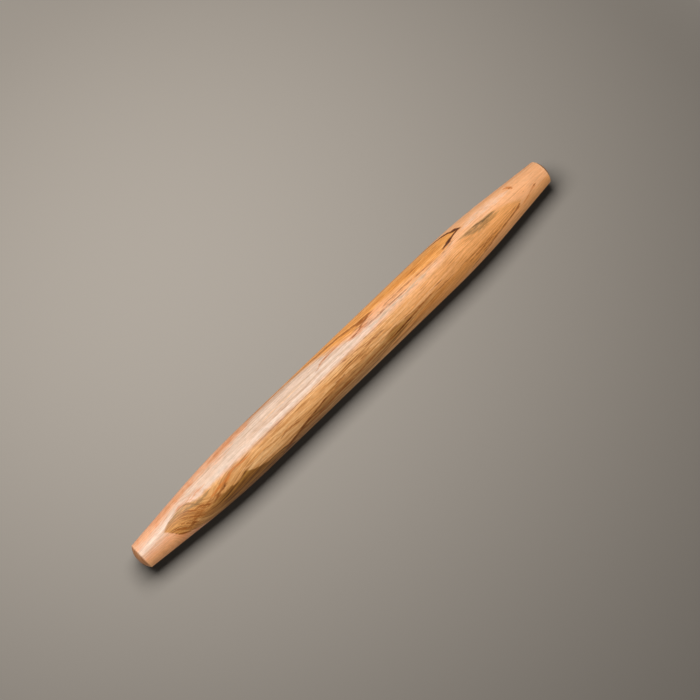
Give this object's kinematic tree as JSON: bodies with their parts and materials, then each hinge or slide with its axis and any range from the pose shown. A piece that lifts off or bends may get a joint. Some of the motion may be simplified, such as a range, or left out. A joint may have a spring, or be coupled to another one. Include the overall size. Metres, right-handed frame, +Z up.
{
  "type": "french rolling pin",
  "caption": "One-piece turned hardwood rolling pin: long parallel barrel easing into tapered ends with small domed tips, no handles.",
  "frame": {"origin": "on the turning axis, halfway along the pin", "axes": "+X along the turning axis, +Z up with the pin lying level on its barrel, +Y across it"},
  "size_m": [0.508, 0.0444, 0.0444],
  "materials": {
    "oiled_fruitwood": "sanded smooth, oiled and waxed to a satin"
  },
  "bodies": {
    "root": {"turned_pin": "oiled_fruitwood"}
  },
  "joints": []
}
